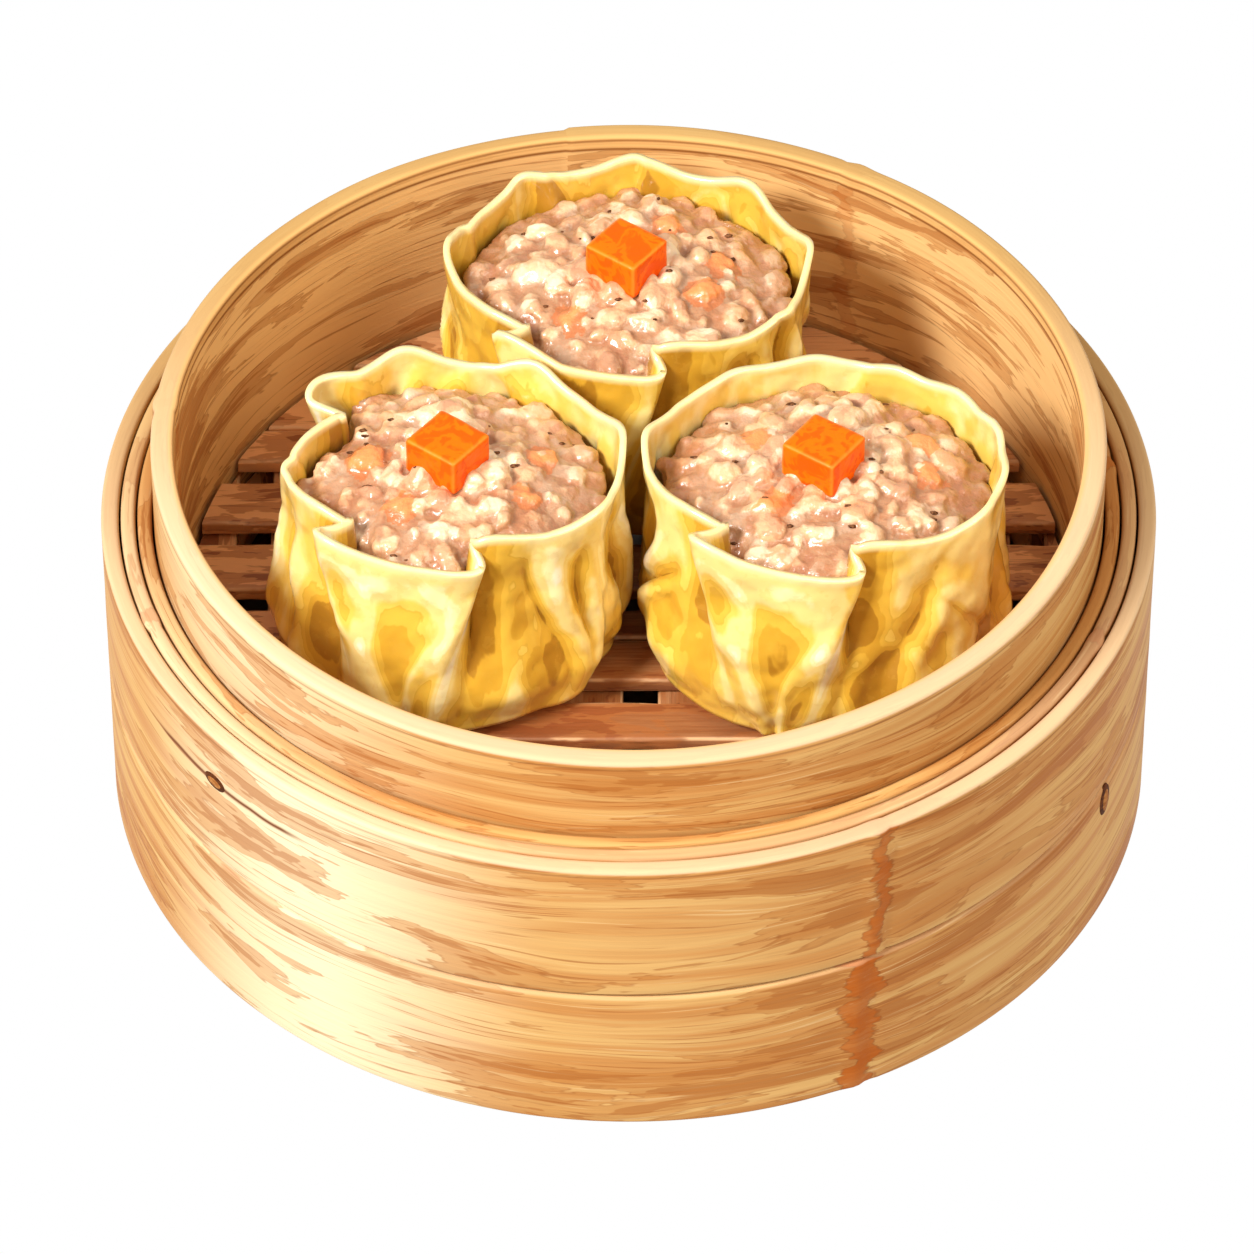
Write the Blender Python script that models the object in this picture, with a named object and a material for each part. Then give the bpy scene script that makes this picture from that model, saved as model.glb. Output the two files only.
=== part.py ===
"""Three siu mai standing in a small round bamboo steaming basket.

The basket is a set of nested bamboo hoops: a tall inner hoop whose rim stands above the others, two
middle hoops, and an outer hoop made of two bands, one above the other. Crossed strips inside it make
the deck. On the deck stand three dumplings, each a wheat wrapper gathered round a mound of minced
filling, with a block of carrot on top.

The basket stands on z = 0 with its middle on the Z axis, and its front faces -Y. A turn is an angle
in degrees round a dumpling, from its front towards +X.
"""
import math
import random

import bmesh
import bpy

MM = 0.001

# The basket: radii are measured from the Z axis, heights from the table.
BASKET_RADIUS = 70.0 * MM
LEDGE_HEIGHT = 46.2 * MM        # top of the outer and middle hoops
RIM_HEIGHT = 58.6 * MM          # top of the inner hoop
SEAM_HEIGHT = 23.7 * MM         # where the two outer bands meet
SKIRT_HEIGHT = 13.0 * MM        # the inner hoop stops here, so one basket stacks on another
BAND_WALL = 2.3 * MM
MIDDLE_WALL = 1.9 * MM
INNER_WALL = 3.0 * MM
EASED_EDGE = 0.5 * MM           # the hoops' visible edges are sanded off by this much
FIT_GAP = 0.3 * MM              # clearance between pieces that touch
HOOP_SIDES = 48

# The deck: slats run left to right on boards that run front to back on a ring.
DECK_HEIGHT = 29.6 * MM
SLAT_THICKNESS = 2.3 * MM
BOARD_THICKNESS = 3.0 * MM
RING_THICKNESS = 3.3 * MM
RING_WIDTH = 4.9 * MM
BOARD_PITCH = 26.2 * MM
BOARD_GAP = 4.6 * MM
FIRST_BOARD_GAP = -50.8 * MM    # middle of the leftmost gap
BOARD_GAPS = 5
FIRST_SLAT_EDGE = 54.0 * MM     # back edge of the rearmost slat
SLAT_WIDTHS = [w * MM for w in (8.4, 8.1, 6.5, 8.4, 9.1, 5.5, 7.8, 7.2, 8.2, 8.2)]
SLAT_GAPS = [g * MM for g in (4.6, 0.4, 4.1, 4.0, 3.9, 0.4, 4.1, 4.0, 4.0)]

# The dumplings: a gathered cup of dough, wider low down than at its ruffled rim.
DOUGH_THICKNESS = 0.9 * MM
DUMPLING_HEIGHT = 29.5 * MM
CUP_PROFILE = ((0.80, 0.0), (0.98, 0.05), (1.05, 0.24), (1.02, 0.50), (0.985, 0.78), (1.0, 1.0))
BASE_DEPTH_RATIO = 0.98         # front-to-back width over side-to-side width, at the base
RIM_DEPTH_RATIO = 0.90          # the same at the rim
CUP_COLUMNS = 64
CREST_RISE = 1.8 * MM           # how far a rim wave of strength 1 stands up
CREST_FLARE = 1.1 * MM          # and how far it leans out
CREST_WIDTH = 10.5
GROOVE_DEPTH = 1.2 * MM
GROOVE_WIDTH = 7.0
GROOVE_SPACING = 27.0
GROOVE_LEAN = 8.0               # degrees from base to rim
GROOVE_WANDER = 7.0             # degrees either way from an even spacing

# A pleat: the rim runs past itself, doubles back and runs on, one layer further in or out.
PLEAT_SPREAD = 12.0             # degrees
PLEAT_FOLD = 15.0               # degrees; the rim doubles back where this passes the spread
PLEAT_STEP = 3.3 * MM           # half the distance between the two layers
PINCH_SPREAD = 2.3              # half-width of the dent that a pleat makes, in pleat spreads
PLEAT_PINCH = 2.2 * MM          # and its depth
CROWDING = 0.6                  # columns at a pleat lie closer by this share
PLEAT_SLANT = 10.0              # how far the fold line leans, in degrees, from base to rim

FILLING_COLUMNS = 28
FILLING_CLEARANCE = 3 * FIT_GAP # to the dough, whose facets cut inside its curve
FACET_TURN = 9.0                # the clearance is looked for this far each side, in degrees
FOLD_REACH = 40                 # a pleat can bring in dough from this many degrees away
MOUND_WALL = ((0.92, 0.06), (1.0, 0.16), (1.0, 0.38), (1.0, 0.64))
MOUND_TOP_SHARES = (0.88, 0.70, 0.50, 0.30)
DOME_REACH = 0.9                # the dome would come down to the edge's height at this share
FILLING_EDGE_DROP = 4.6 * MM    # the mound's edge lies this far below the rim
FILLING_CROWN_DROP = 0.6 * MM   # and its middle this far
LUMP_HEIGHT = 1.0 * MM
LUMP_WIDTH = 3.2 * MM
LUMP_COUNT = 40
LUMP_REACH = 0.8                # lumps lie within this share of the rim's radius

CARROT_SIZE = (8.2 * MM, 7.7 * MM, 5.5 * MM)
CARROT_EDGE = 0.35 * MM
CARROT_SEAT = 6.6 * MM          # the mound is pressed flat out to this radius

# Each crest is (turn, strength); each pleat is (turn, 1 if its far side is the outer layer, else -1).
FRONT_CRESTS = ((-66, 0.5), (-31, 1.1), (1, -1.1), (27, 0.8))
FRONT_PLEATS = ((-45, 1), (12, -1))
DUMPLINGS = (
    dict(name="left", x=-23.7 * MM, y=-7.2 * MM, radius=22.6 * MM, seed=3, carrot_turn=-38,
         crests=FRONT_CRESTS + ((-143, 0.6), (194, 1.2), (152, 1.0), (104, 0.7), (60, 0.5)),
         pleats=FRONT_PLEATS + ((-127, -1),)),
    dict(name="right", x=25.5 * MM, y=-7.8 * MM, radius=23.3 * MM, seed=8, carrot_turn=-36,
         crests=FRONT_CRESTS + ((-152, 1.0), (182, 1.0), (143, 1.2), (113, 0.7), (66, 0.6), (-104, 0.6)),
         pleats=FRONT_PLEATS),
    dict(name="rear", x=-0.3 * MM, y=31.7 * MM, radius=23.8 * MM, seed=5, carrot_turn=-37,
         crests=FRONT_CRESTS + ((-148, 1.0), (177, 1.3), (138, 1.1), (98, 0.9), (62, 0.5), (-100, 0.6)),
         pleats=FRONT_PLEATS),
)

COLOURS = {
    "bamboo": ((0.72, 0.45, 0.20, 1.0), 0.55),
    "wet_bamboo": ((0.34, 0.14, 0.06, 1.0), 0.5),
    "dough": ((0.86, 0.62, 0.20, 1.0), 0.3),
    "filling": ((0.66, 0.42, 0.31, 1.0), 0.4),
    "carrot": ((0.95, 0.22, 0.02, 1.0), 0.35),
}


def material(name):
    """The named finish, made the first time it is asked for."""
    found = bpy.data.materials.get(name)
    if found:
        return found
    colour, roughness = COLOURS[name]
    made = bpy.data.materials.new(name)
    made.use_nodes = True
    shader = made.node_tree.nodes["Principled BSDF"]
    shader.inputs["Base Color"].default_value = colour
    shader.inputs["Roughness"].default_value = roughness
    return made


def place(name, mesh_data, finish, smooth=True):
    """Turn a bmesh into a named object with its own finish."""
    bmesh.ops.recalc_face_normals(mesh_data, faces=mesh_data.faces)
    mesh = bpy.data.meshes.new(name)
    mesh_data.to_mesh(mesh)
    mesh_data.free()
    if smooth:
        mesh.shade_smooth()
        mesh.set_sharp_from_angle(angle=math.radians(35))
    mesh.materials.append(material(finish))
    piece = bpy.data.objects.new(name, mesh)
    bpy.context.collection.objects.link(piece)
    return piece


def hoop(name, outer, wall, bottom, top, finish="bamboo", ease=0.0):
    """A bent strip of bamboo closed into a ring: its section, spun round the Z axis."""
    section = bmesh.new()
    corners = ((outer - wall, bottom), (outer, bottom), (outer, top), (outer - wall, top))
    points = [section.verts.new((radius, 0.0, height)) for radius, height in corners]
    for start, end in zip(points, points[1:] + points[:1]):
        section.edges.new((start, end))
    if ease:
        bmesh.ops.bevel(section, geom=points[2:], offset=ease, segments=1, profile=0.5,
                        affect="VERTICES")
    bmesh.ops.spin(section, geom=section.verts[:] + section.edges[:], cent=(0, 0, 0), axis=(0, 0, 1),
                   angle=math.tau, steps=HOOP_SIDES, use_merge=True)
    bmesh.ops.remove_doubles(section, verts=section.verts, dist=0.01 * MM)
    return place(name, section, finish)


def strip(name, near, far, bottom, thickness, radius, across):
    """A flat strip between two parallel lines, its ends cut to a circle, running along X or Y."""
    flat = bmesh.new()
    lines = (near, (near + far) / 2, far)
    ends = [math.sqrt(radius ** 2 - line ** 2) for line in lines]
    outline = list(zip(lines, ends)) + [(line, -end) for line, end in zip(lines[::-1], ends[::-1])]
    face = flat.faces.new([flat.verts.new((end, line, bottom) if across else (line, end, bottom))
                           for line, end in outline])
    grown = bmesh.ops.extrude_face_region(flat, geom=[face])["geom"]
    bmesh.ops.translate(flat, vec=(0, 0, thickness),
                        verts=[item for item in grown if isinstance(item, bmesh.types.BMVert)])
    return place(name, flat, "wet_bamboo", smooth=False)


def build_basket():
    outer_inside = BASKET_RADIUS - BAND_WALL - FIT_GAP
    middle_inside = outer_inside - MIDDLE_WALL - FIT_GAP
    inner_outside = middle_inside - MIDDLE_WALL - FIT_GAP
    hoop("outer_band_lower", BASKET_RADIUS, BAND_WALL, 0.0, SEAM_HEIGHT - FIT_GAP, ease=EASED_EDGE / 2)
    hoop("outer_band_upper", BASKET_RADIUS, BAND_WALL, SEAM_HEIGHT, LEDGE_HEIGHT, ease=EASED_EDGE)
    hoop("middle_hoop_outer", outer_inside, MIDDLE_WALL, 0.0, LEDGE_HEIGHT)
    hoop("middle_hoop_inner", middle_inside, MIDDLE_WALL, 0.0, LEDGE_HEIGHT)
    hoop("inner_hoop", inner_outside, INNER_WALL, SKIRT_HEIGHT, RIM_HEIGHT, ease=EASED_EDGE)
    return inner_outside - INNER_WALL


def build_deck(inside):
    """The ring, the boards on it and the slats on the boards, all within the inner hoop."""
    slat_bottom = DECK_HEIGHT - SLAT_THICKNESS
    board_bottom = slat_bottom - FIT_GAP - BOARD_THICKNESS
    ring_top = board_bottom - FIT_GAP
    reach = inside - 2 * FIT_GAP
    hoop("deck_ring", inside - FIT_GAP, RING_WIDTH, ring_top - RING_THICKNESS, ring_top, "wet_bamboo")

    gap_middles = [FIRST_BOARD_GAP + BOARD_PITCH * number for number in range(BOARD_GAPS)]
    lefts = [-reach + FIT_GAP] + [middle + BOARD_GAP / 2 for middle in gap_middles]
    rights = [middle - BOARD_GAP / 2 for middle in gap_middles] + [reach - FIT_GAP]
    for number, (left, right) in enumerate(zip(lefts, rights), start=1):
        strip(f"board_{number}", left, right, board_bottom, BOARD_THICKNESS, reach, across=False)

    back = FIRST_SLAT_EDGE
    for number, (width, gap) in enumerate(zip(SLAT_WIDTHS, SLAT_GAPS + [0.0]), start=1):
        strip(f"slat_{number}", back - width, back, slat_bottom, SLAT_THICKNESS, reach, across=True)
        back -= width + gap


def turn_between(turn, other):
    """The signed angle from one turn to another, from -180 to 180."""
    return (turn - other + 180.0) % 360.0 - 180.0


def hump(turn, centre, width):
    return math.exp(-(turn_between(turn, centre) / width) ** 2)


def ramp(value, start, end):
    """A smooth step from 0 at start to 1 at end."""
    share = min(max((value - start) / (end - start), 0.0), 1.0)
    return share * share * (3.0 - 2.0 * share)


def grooves(dumpling):
    """The turns and strengths of the soft creases down a wrapper's wall, unevenly spaced."""
    chance = random.Random(dumpling["seed"])
    count = round(360 / GROOVE_SPACING)
    return [(number * 360 / count + chance.uniform(-GROOVE_WANDER, GROOVE_WANDER), chance.uniform(0.4, 1.0))
            for number in range(count)]


def dough_point(dumpling, turn, share, height):
    """The middle of the dough, for a turn, a share of the rim's radius and a height from 0 to 1."""
    fold = ramp(height, 0.30, 1.0)
    step = 0.10 + 0.90 * ramp(height, 0.05, 0.70)
    wave = ramp(height, 0.45, 1.0)
    azimuth = turn
    radius = dumpling["radius"] * share
    lift = 0.0
    for centre, side in dumpling["pleats"]:
        across = turn_between(turn, centre) / PLEAT_SPREAD
        azimuth -= fold * PLEAT_FOLD * across * math.exp(-across ** 2 / 2)
        azimuth += side * PLEAT_SLANT * (1 - height) * math.exp(-(across / 2) ** 2)
        radius += step * side * PLEAT_STEP * math.tanh(1.5 * across) * math.exp(-across ** 2 / 6)
        radius -= wave * PLEAT_PINCH * math.exp(-(across / PINCH_SPREAD) ** 2)
    for centre, strength in dumpling["crests"]:
        crest = wave * strength * hump(turn, centre, CREST_WIDTH)
        radius += CREST_FLARE * crest
        lift += CREST_RISE * crest
    for centre, strength in dumpling["grooves"]:
        depth = math.sin(math.pi * min(height * 1.1, 1.0))
        radius -= GROOVE_DEPTH * strength * depth * hump(turn, centre + GROOVE_LEAN * height, GROOVE_WIDTH)

    depth_ratio = BASE_DEPTH_RATIO + (RIM_DEPTH_RATIO - BASE_DEPTH_RATIO) * height
    x = radius * math.sin(math.radians(azimuth))
    y = -radius * math.cos(math.radians(azimuth)) * depth_ratio
    for other in DUMPLINGS:
        if other is dumpling:
            continue
        # Where two dumplings press together, each stays on its own side of the plane between them.
        apart_x, apart_y = other["x"] - dumpling["x"], other["y"] - dumpling["y"]
        apart = math.hypot(apart_x, apart_y)
        room = apart / 2 - DOUGH_THICKNESS / 2 - FIT_GAP
        over = max((x * apart_x + y * apart_y) / apart - room, 0.0)
        x -= over * apart_x / apart
        y -= over * apart_y / apart
    bottom = DECK_HEIGHT + FIT_GAP + DOUGH_THICKNESS / 2
    z = bottom + (DUMPLING_HEIGHT - DOUGH_THICKNESS / 2) * height + lift
    return x, y, z


def crowded(dumpling, turn):
    """Draw a turn towards the nearest pleat, so that the folds have more columns than the plain wall."""
    for centre, _ in dumpling["pleats"]:
        across = turn_between(turn, centre) / PLEAT_SPREAD
        turn -= CROWDING * PLEAT_SPREAD * across * math.exp(-across ** 2 / 2)
    return turn


def turned_blank(profile, columns):
    """A plain closed-bottom cup whose points carry the turn and row they will be shaped by."""
    blank = bmesh.new()
    start = bmesh.ops.create_circle(blank, cap_ends=True, segments=columns, radius=profile[0][0])
    ring = start["verts"]
    rows = [ring]
    for share, height in profile[1:]:
        edges = [edge for edge in blank.edges if edge.verts[0] in ring and edge.verts[1] in ring]
        grown = bmesh.ops.extrude_edge_only(blank, edges=edges)["geom"]
        ring = [item for item in grown if isinstance(item, bmesh.types.BMVert)]
        for point in ring:
            size = math.hypot(point.co.x, point.co.y)
            point.co = (point.co.x * share / size, point.co.y * share / size, height)
        rows.append(ring)
    return blank, rows


def turn_of(point):
    """The turn of a blank's point, from the front (-Y) towards +X."""
    return math.degrees(math.atan2(point.co.x, -point.co.y))


def build_wrapper(dumpling):
    blank, rows = turned_blank(CUP_PROFILE, CUP_COLUMNS)
    for (share, height), row in zip(CUP_PROFILE, rows):
        for point in row:
            x, y, z = dough_point(dumpling, crowded(dumpling, turn_of(point)), share, height)
            point.co = (dumpling["x"] + x, dumpling["y"] + y, z)
    piece = place("wrapper_" + dumpling["name"], blank, "dough")
    dough = piece.modifiers.new("dough", "SOLIDIFY")
    dough.thickness = DOUGH_THICKNESS
    dough.offset = 0.0
    dough.use_even_offset = False
    return piece


def free_radius(dumpling, turn, height):
    """How far the filling can reach at this turn before it meets the innermost layer of dough."""
    share = CUP_PROFILE[-1][0]
    for (low_share, low), (high_share, high) in zip(CUP_PROFILE, CUP_PROFILE[1:]):
        if low <= height <= high:
            share = low_share + (high_share - low_share) * (height - low) / (high - low)
    nearest = dumpling["radius"]
    for step in range(-FOLD_REACH, FOLD_REACH + 1):
        x, y, _ = dough_point(dumpling, turn + step, share, height)
        off = turn_between(math.degrees(math.atan2(x, -y)), turn)
        if abs(off) < FACET_TURN:
            nearest = min(nearest, math.hypot(x, y))
    return nearest - DOUGH_THICKNESS / 2 - FILLING_CLEARANCE


def build_filling(dumpling):
    """A mound that fills the cup from its floor and stands domed and lumpy at the top."""
    edge = 1.0 - FILLING_EDGE_DROP / DUMPLING_HEIGHT
    crown = DUMPLING_HEIGHT - FILLING_CROWN_DROP
    walls = list(MOUND_WALL) + [(1.0, edge)]
    domes = [(share, edge) for share in MOUND_TOP_SHARES]
    blank, rows = turned_blank(walls + domes, FILLING_COLUMNS)
    bmesh.ops.contextual_create(blank, geom=[rim_edge for rim_edge in blank.edges if rim_edge.is_boundary])
    chance = random.Random(dumpling["seed"] + 50)
    reach = dumpling["radius"] * LUMP_REACH
    lumps = []
    for _ in range(LUMP_COUNT):
        away, round_ = reach * math.sqrt(chance.random()), chance.uniform(0, math.tau)
        lumps.append((away * math.cos(round_), away * math.sin(round_), chance.uniform(-0.6, 1.0)))

    bottom = DECK_HEIGHT + FIT_GAP
    for (share, height), row in zip(walls + domes, rows):
        on_top = (share, height) in domes
        for point in row:
            turn = turn_of(point)
            radius = share * free_radius(dumpling, turn, height)
            x, y = radius * math.sin(math.radians(turn)), -radius * math.cos(math.radians(turn))
            z = bottom + height * DUMPLING_HEIGHT
            if on_top:
                domed = 1.0 - (radius / (DOME_REACH * dumpling["radius"])) ** 2
                z += (crown - height * DUMPLING_HEIGHT) * domed
                rough = sum(strength * math.exp(-((x - a) ** 2 + (y - b) ** 2) / LUMP_WIDTH ** 2)
                            for a, b, strength in lumps)
                z += LUMP_HEIGHT * rough * ramp(radius, CARROT_SEAT, 1.4 * CARROT_SEAT)
            if on_top and radius < CARROT_SEAT * 1.15:
                z = bottom + crown - FILLING_CROWN_DROP
            point.co = (dumpling["x"] + x, dumpling["y"] + y, z)
    bmesh.ops.triangulate(blank, faces=blank.faces)
    return place("filling_" + dumpling["name"], blank, "filling")


def build_carrot(dumpling):
    block = bmesh.new()
    bmesh.ops.create_cube(block, size=1.0)
    bmesh.ops.scale(block, vec=CARROT_SIZE, verts=block.verts)
    bmesh.ops.bevel(block, geom=block.edges[:], offset=CARROT_EDGE, segments=1, profile=0.5,
                    affect="EDGES")
    piece = place("carrot_" + dumpling["name"], block, "carrot")
    seat = DECK_HEIGHT + FIT_GAP + DUMPLING_HEIGHT - 2 * FILLING_CROWN_DROP
    piece.location = (dumpling["x"], dumpling["y"], seat + FIT_GAP + CARROT_SIZE[2] / 2)
    piece.rotation_euler = (0, 0, math.radians(dumpling["carrot_turn"]))
    return piece


for leftover in list(bpy.data.objects):
    bpy.data.objects.remove(leftover)
build_deck(build_basket())
for siu_mai in DUMPLINGS:
    siu_mai["grooves"] = grooves(siu_mai)
    build_wrapper(siu_mai)
    build_filling(siu_mai)
    build_carrot(siu_mai)
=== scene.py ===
import math
import random

import bmesh
import bpy
from mathutils import Matrix, Vector, noise
from mathutils.bvhtree import BVHTree
from mathutils.kdtree import KDTree


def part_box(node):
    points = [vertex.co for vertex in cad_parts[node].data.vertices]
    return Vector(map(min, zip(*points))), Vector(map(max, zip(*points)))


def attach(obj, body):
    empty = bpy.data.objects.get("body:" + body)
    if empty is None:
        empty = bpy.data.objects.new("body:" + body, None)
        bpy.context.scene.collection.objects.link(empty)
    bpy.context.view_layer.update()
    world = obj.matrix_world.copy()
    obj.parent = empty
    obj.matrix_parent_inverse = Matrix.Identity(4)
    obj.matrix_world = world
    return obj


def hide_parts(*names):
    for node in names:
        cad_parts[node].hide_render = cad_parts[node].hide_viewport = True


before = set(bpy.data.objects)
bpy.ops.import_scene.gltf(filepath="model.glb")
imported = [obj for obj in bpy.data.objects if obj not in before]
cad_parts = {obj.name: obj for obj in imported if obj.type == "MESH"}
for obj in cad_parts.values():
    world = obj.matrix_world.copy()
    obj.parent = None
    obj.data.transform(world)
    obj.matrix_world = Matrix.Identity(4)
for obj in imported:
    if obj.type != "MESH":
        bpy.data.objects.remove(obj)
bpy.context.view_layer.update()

# The hoops. Five strips of split bamboo, each bent into a ring while it is wet and nested one in another:
# a tall inner one, two middle ones that show only as the ledge, and two outer bands, one above the other.
# A joint of the cane is a low ridge with a crease beside it, and the ends of each strip lap at the back.
MM = 0.001
HOOP_STEPS = 480                # columns of faces round a hoop, a multiple of 16
EASED_EDGE = 0.55 * MM
RIDGE = 0.30 * MM               # how far a joint of the cane stands out
RIDGE_SPREAD = 1.5 * MM
CREASE = 0.22 * MM              # how deep the crease beside the joint is
CREASE_OFFSET = 1.95 * MM
CREASE_SPREAD = 0.7 * MM
JOINT_WANDER = 1.2 * MM         # how far a joint strays from a straight line
INNER_SHARE = 0.4               # how much of the relief shows on the inner face
FACE_WANDER = 0.04 * MM         # how unevenly the faces are planed
LAP_STEP = 0.45 * MM            # the end of the strip stands this far above the layer under it
LAP_RUN = 32.0                  # degrees over which the strip under it comes level again
EDGE_WANDER = 0.16 * MM         # how unevenly the top edges are cut
CANE_RADIUS = 68.0              # millimetres, for lengths along a hoop
STAIN, DARK_STAIN = 0.53, 0.61  # the levels of the noise at which the two kinds of stain begin
# For each hoop: its cane joints (turn, half width in millimetres, strength), where its ends lap, the rows
# of its mesh, how strongly its cut top shows its paler tone, painted highlight and painted shadow line, and
# where the painted highlight lies on the strip (turn, reach, strength).
HOOPS = {
    "outer_band_lower": dict(joints=((25.0, 2.0, 0.9), (-128.0, 1.2, 0.8)), lap=172.0, rows=16, pale=0.25,
                             painted_highlight=(-36.0, 34.0, 0.9)),
    "outer_band_upper": dict(joints=((27.0, 0.8, 0.85), (-162.0, 1.4, 0.8)), lap=-156.0, rows=16, pale=0.75,
                             painted_highlight=(-37.0, 36.0, 0.9)),
    "middle_hoop_outer": dict(joints=((66.0, 1.0, 0.6), (-70.0, 1.0, 0.6)), lap=150.0, rows=2, pale=0.35,
                              painted_highlight=(-60.0, 70.0, 0.5)),
    "middle_hoop_inner": dict(joints=((96.0, 1.0, 0.6), (-118.0, 1.0, 0.5)), lap=200.0, rows=2, pale=0.0,
                              painted_highlight=(-60.0, 50.0, 0.3)),
    "inner_hoop": dict(joints=((150.0, 1.0, 0.35), (-95.0, 0.8, 0.3)), lap=-172.0, rows=22, pale=0.8,
                       painted_highlight=(-52.0, 46.0, 0.6)),
}
# The crack beside the bud scar: its hoop, turn, height and half its length, both in millimetres.
CRACK = ("outer_band_upper", -49.0, 37.9, 18.0)


def tone(shown):
    """The linear colour for one written as six hexadecimal digits."""
    parts = [int(shown[start:start + 2], 16) / 255 for start in (0, 2, 4)]
    linear = [((part + 0.055) / 1.055) ** 2.4 if part > 0.04045 else part / 12.92 for part in parts]
    return tuple(linear + [1.0])


class Finish:
    """A surface finish: one Principled shader, and short calls for the nodes that feed it."""

    def __init__(self, name, **sockets):
        self.material = bpy.data.materials.new(name)
        self.material.use_nodes = True
        self.tree = self.material.node_tree
        self.shader = self.tree.nodes["Principled BSDF"]
        for socket, value in sockets.items():
            self.shader.inputs[socket.replace("_", " ").title().replace("Ior", "IOR")].default_value = value
        metres = self.node("TexCoord", {}, out="Object")
        self.place = self.node("VectorMath", {0: metres, 1: (1000, 1000, 1000)}, operation="MULTIPLY")

    def node(self, kind, inputs, out=0, **settings):
        made = self.tree.nodes.new("ShaderNode" + kind)
        for setting, value in settings.items():
            setattr(made, setting, value)
        for key, value in inputs.items():
            if isinstance(value, bpy.types.NodeSocket):
                self.tree.links.new(value, made.inputs[key])
            else:
                made.inputs[key].default_value = value
        return made.outputs[out]

    def math(self, operation, *values):
        return self.node("Math", dict(enumerate(values)), operation=operation)

    def times(self, first, second):
        return self.math("MULTIPLY", first, second)

    def split(self, vector):
        parts = self.tree.nodes.new("ShaderNodeSeparateXYZ")
        self.tree.links.new(vector, parts.inputs[0])
        return parts.outputs[0], parts.outputs[1], parts.outputs[2]

    def stretch(self, x, y, z, *scales):
        joined = self.node("CombineXYZ", {0: x, 1: y, 2: z})
        return self.node("VectorMath", {0: joined, 1: scales}, operation="MULTIPLY")

    def noise(self, vector, scale, detail=2.0, roughness=0.5, distortion=0.0):
        return self.node("TexNoise", {"Vector": vector, "Scale": scale, "Detail": detail,
                                      "Roughness": roughness, "Distortion": distortion})

    def step(self, value, low, high, start=0.0, end=1.0):
        """From start to end, smoothly, as the value goes from low to high."""
        return self.node("MapRange", {"Value": value, "From Min": low, "From Max": high,
                                      "To Min": start, "To Max": end}, interpolation_type="SMOOTHSTEP")

    def band(self, value, middle, width):
        """1 where the value is at the middle, 0 where it is more than the width away."""
        away = self.math("ABSOLUTE", self.math("SUBTRACT", value, middle))
        return self.step(away, 0.0, width, 1.0, 0.0)

    def from_axis(self, x, y):
        """How far a point is from the Z axis."""
        return self.math("SQRT", self.math("ADD", self.times(x, x), self.times(y, y)))

    def attribute(self, name):
        return self.node("Attribute", {}, out="Fac", attribute_name=name)

    def blend(self, share, first, second):
        return self.node("Mix", {0: share, 6: first, 7: second}, out=2, data_type="RGBA")

    def base(self, share, first, second):
        """Start the colour as a mix of two tones."""
        self.shade = self.blend(share, tone(first), tone(second))

    def lay(self, share, colour, strength=1.0):
        """Lay a tone over the colour so far, where the share is above 0."""
        if strength != 1.0:
            share = self.times(share, strength)
        self.shade = self.blend(share, self.shade, tone(colour))

    def feed(self, socket, value):
        self.tree.links.new(value, self.shader.inputs[socket])

    def relief(self, height, depth):
        """Raise the surface where the height is 1 above where it is 0 by this depth, in metres."""
        self.feed("Normal", self.node("Bump", {"Height": height, "Distance": depth, "Strength": 1.0}))

    def done(self):
        self.feed("Base Color", self.shade)
        return self.material


def turn_of(point):
    """The angle in degrees round the Z axis, from the front (-Y) towards +X."""
    return math.degrees(math.atan2(point.x, -point.y))


def turn_between(turn, other):
    """The signed angle from one turn to another, from -180 to 180."""
    return (turn - other + 180.0) % 360.0 - 180.0


def ramp(value, start, end):
    """A smooth step from 0 at start to 1 at end."""
    share = min(max((value - start) / (end - start), 0.0), 1.0)
    return share * share * (3.0 - 2.0 * share)


def hump(value, width):
    return math.exp(-(value / width) ** 2)


def hoop_radii(node):
    """The inner and outer radius of one of the frame's rings."""
    away = [math.hypot(point.co.x, point.co.y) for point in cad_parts[node].data.vertices]
    return min(away), max(away)


def turned(outline, sixteenth):
    """Spin an outline a sixteenth of a turn in this many steps, then double it until the turn is whole."""
    bmesh.ops.spin(outline, geom=outline.verts[:] + outline.edges[:], cent=(0, 0, 0), axis=(0, 0, 1),
                   angle=math.tau / 16, steps=sixteenth)
    for share in (16, 8, 4, 2):
        copied = bmesh.ops.duplicate(outline, geom=outline.verts[:] + outline.edges[:] + outline.faces[:])
        moved = [item for item in copied["geom"] if isinstance(item, bmesh.types.BMVert)]
        bmesh.ops.rotate(outline, cent=(0, 0, 0), matrix=Matrix.Rotation(math.tau / share, 3, "Z"),
                         verts=moved)
    bmesh.ops.remove_doubles(outline, verts=outline.verts, dist=0.005 * MM)
    bmesh.ops.recalc_face_normals(outline, faces=outline.faces)


def spun_hoop(node, rows):
    """The strip's section with rounded corners, spun round the Z axis."""
    inside, outside = hoop_radii(node)
    bottom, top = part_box(node)[0].z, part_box(node)[1].z
    hoop = bmesh.new()
    corners = [hoop.verts.new((radius, 0.0, height)) for radius, height in
               ((inside, bottom), (outside, bottom), (outside, top), (inside, top))]
    for start, end in zip(corners, corners[1:] + corners[:1]):
        hoop.edges.new((start, end))
    bmesh.ops.bevel(hoop, geom=corners, offset=EASED_EDGE, segments=3, profile=0.5, affect="VERTICES",
                    material=-1)
    walls = [edge for edge in hoop.edges if abs(edge.verts[0].co.z - edge.verts[1].co.z) > 2 * EASED_EDGE]
    bmesh.ops.subdivide_edges(hoop, edges=walls, cuts=rows)
    turned(hoop, HOOP_STEPS // 16)
    return hoop


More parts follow.
